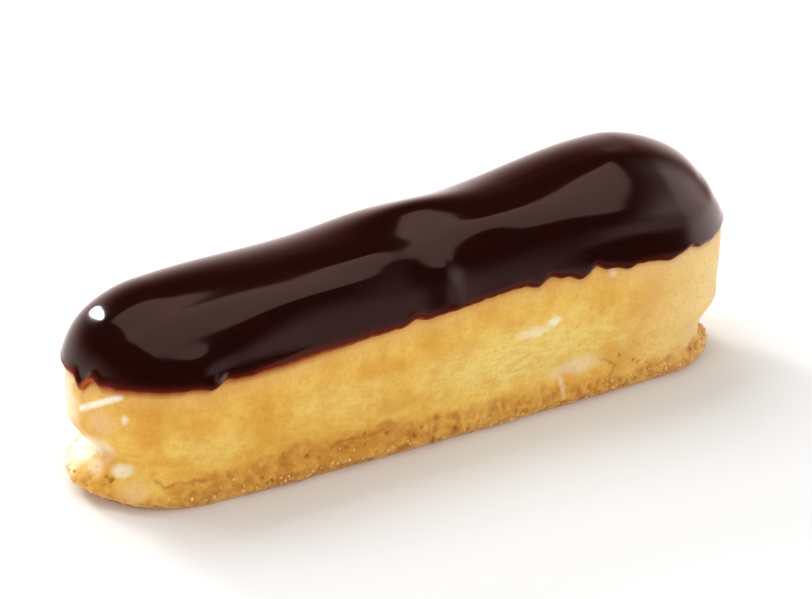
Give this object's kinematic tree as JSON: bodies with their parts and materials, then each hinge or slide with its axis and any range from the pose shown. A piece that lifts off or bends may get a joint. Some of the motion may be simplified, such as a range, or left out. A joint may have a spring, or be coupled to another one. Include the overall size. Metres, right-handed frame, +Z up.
{
  "type": "eclair",
  "caption": "Finger-shaped baked choux pastry with a rounded top under a glossy chocolate icing that ends in a wavy edge.",
  "frame": {"origin": "middle of the box, on the flat base that the pastry rests on", "axes": "+X along the finger towards its taller end, +Z up"},
  "size_m": [0.0744, 0.0202, 0.0225],
  "materials": {
    "choux": "stands for baked choux pastry: golden, dull, with fine pores",
    "icing": "stands for dark chocolate icing: wet-looking gloss"
  },
  "bodies": {
    "root": {"choux": "choux", "icing": "icing"}
  },
  "joints": []
}
